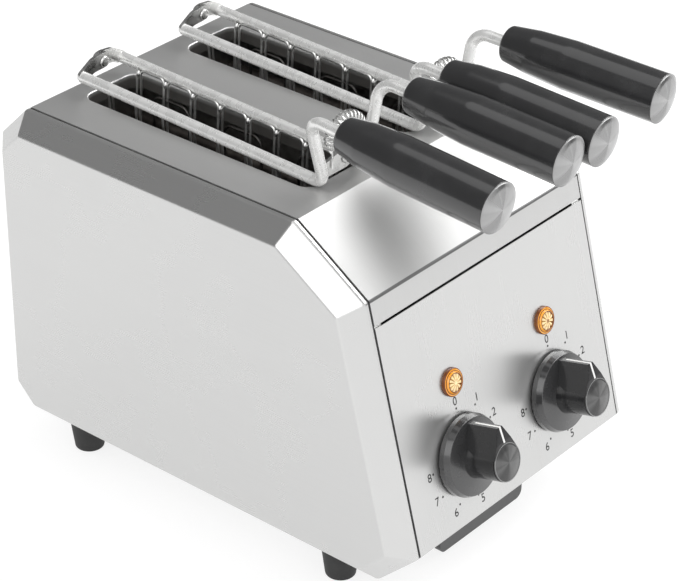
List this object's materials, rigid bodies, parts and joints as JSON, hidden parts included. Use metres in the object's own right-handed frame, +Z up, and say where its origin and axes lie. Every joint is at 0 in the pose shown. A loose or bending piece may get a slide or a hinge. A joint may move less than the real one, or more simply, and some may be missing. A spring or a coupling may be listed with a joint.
{
  "type": "sandwich toaster",
  "caption": "Commercial countertop sandwich toaster: steel casing with bread slots, lift-out sprung tongs with black grips, timer knobs, signal lamps and a crumb tray.",
  "frame": {"origin": "middle of the whole object's footprint, on the surface that its feet stand on", "axes": "+Z up, +X to the right seen from the controls, +Y from the controls to the back"},
  "size_m": [0.22, 0.3593, 0.2919],
  "materials": {
    "stainless_steel": "satin",
    "bright_wire": "bright",
    "sheathed_element": "dark oxide",
    "black_plastic": "glossy",
    "black_rubber": "matte",
    "amber_lens": "clear gloss"
  },
  "bodies": {
    "casing": {"left_side_panel": "stainless_steel", "right_side_panel": "stainless_steel", "top_cover": "stainless_steel", "control_panel": "stainless_steel", "back_panel": "stainless_steel", "base_plate": "stainless_steel", "front_bulkhead": "stainless_steel", "rear_bulkhead": "stainless_steel", "left_tray_guide": "stainless_steel", "right_tray_guide": "stainless_steel", "left_reflector": "bright_wire", "right_reflector": "bright_wire", "centre_reflector": "bright_wire", "left_slot_left_guard": "bright_wire", "left_slot_right_guard": "bright_wire", "right_slot_left_guard": "bright_wire", "right_slot_right_guard": "bright_wire", "left_outer_element": "sheathed_element", "left_inner_element": "sheathed_element", "right_inner_element": "sheathed_element", "right_outer_element": "sheathed_element", "front_left_foot": "black_rubber", "front_right_foot": "black_rubber", "rear_left_foot": "black_rubber", "rear_right_foot": "black_rubber", "front_left_foot_screw": "stainless_steel", "front_right_foot_screw": "stainless_steel", "rear_left_foot_screw": "stainless_steel", "rear_right_foot_screw": "stainless_steel", "cable_gland": "black_plastic", "left_timer": "black_plastic", "left_lamp_body": "black_plastic", "left_lamp_lens": "amber_lens", "right_timer": "black_plastic", "right_lamp_body": "black_plastic", "right_lamp_lens": "amber_lens"},
    "left_timer_dial": {"left_timer_knob": "black_plastic", "left_timer_shaft": "stainless_steel"},
    "right_timer_dial": {"right_timer_knob": "black_plastic", "right_timer_shaft": "stainless_steel"},
    "crumb_drawer": {"crumb_tray": "stainless_steel", "crumb_tray_handle": "black_plastic"},
    "first_tong_frame": {"first_tong_front_pin": "stainless_steel", "first_tong_rear_rivet": "stainless_steel", "first_tong_spring": "stainless_steel"},
    "first_tong_left_half": {"first_tong_left_arm": "stainless_steel", "first_tong_left_cage": "bright_wire", "first_tong_left_grip": "black_plastic"},
    "first_tong_right_half": {"first_tong_right_arm": "stainless_steel", "first_tong_right_cage": "bright_wire", "first_tong_right_grip": "black_plastic"},
    "second_tong_frame": {"second_tong_front_pin": "stainless_steel", "second_tong_rear_rivet": "stainless_steel", "second_tong_spring": "stainless_steel"},
    "second_tong_left_half": {"second_tong_left_arm": "stainless_steel", "second_tong_left_cage": "bright_wire", "second_tong_left_grip": "black_plastic"},
    "second_tong_right_half": {"second_tong_right_arm": "stainless_steel", "second_tong_right_cage": "bright_wire", "second_tong_right_grip": "black_plastic"}
  },
  "joints": [
    {"name": "left_timer_turn", "type": "hinge", "parent": "casing", "child": "left_timer_dial", "pos_m": [-0.0432, -0.1388, 0.08833], "axis": [0, 0.9681, -0.2504], "range_deg": [0, 272]},
    {"name": "right_timer_turn", "type": "hinge", "parent": "casing", "child": "right_timer_dial", "pos_m": [0.0432, -0.1388, 0.08833], "axis": [0, 0.9681, -0.2504], "range_deg": [0, 272]},
    {"name": "crumb_tray_slide", "type": "slide", "parent": "casing", "child": "crumb_drawer", "axis": [0, -1, 0], "range_m": [0, 0.23]},
    {"name": "first_tong_lift", "type": "slide", "parent": "casing", "child": "first_tong_frame", "axis": [0, 0, 1], "range_m": [0, 0.15]},
    {"name": "first_tong_left_squeeze", "type": "hinge", "parent": "first_tong_frame", "child": "first_tong_left_half", "pos_m": [-0.0432, -0.05061, 0.2465], "axis": [0, 1, 0], "range_deg": [0, 6], "stiffness_Nm_per_rad": 1, "springref_deg": -11.46},
    {"name": "first_tong_right_squeeze", "type": "hinge", "parent": "first_tong_frame", "child": "first_tong_right_half", "pos_m": [-0.0432, -0.05061, 0.2465], "axis": [0, -1, 0], "range_deg": [0, 6], "stiffness_Nm_per_rad": 1, "springref_deg": -11.46},
    {"name": "second_tong_lift", "type": "slide", "parent": "casing", "child": "second_tong_frame", "axis": [0, 0, 1], "range_m": [0, 0.15]},
    {"name": "second_tong_left_squeeze", "type": "hinge", "parent": "second_tong_frame", "child": "second_tong_left_half", "pos_m": [0.0432, -0.05061, 0.2465], "axis": [0, 1, 0], "range_deg": [0, 6], "stiffness_Nm_per_rad": 1, "springref_deg": -11.46},
    {"name": "second_tong_right_squeeze", "type": "hinge", "parent": "second_tong_frame", "child": "second_tong_right_half", "pos_m": [0.0432, -0.05061, 0.2465], "axis": [0, -1, 0], "range_deg": [0, 6], "stiffness_Nm_per_rad": 1, "springref_deg": -11.46}
  ],
  "couplings": [
    {"joint": "first_tong_right_squeeze", "follows": "first_tong_left_squeeze", "ratio": 1},
    {"joint": "second_tong_right_squeeze", "follows": "second_tong_left_squeeze", "ratio": 1}
  ]
}
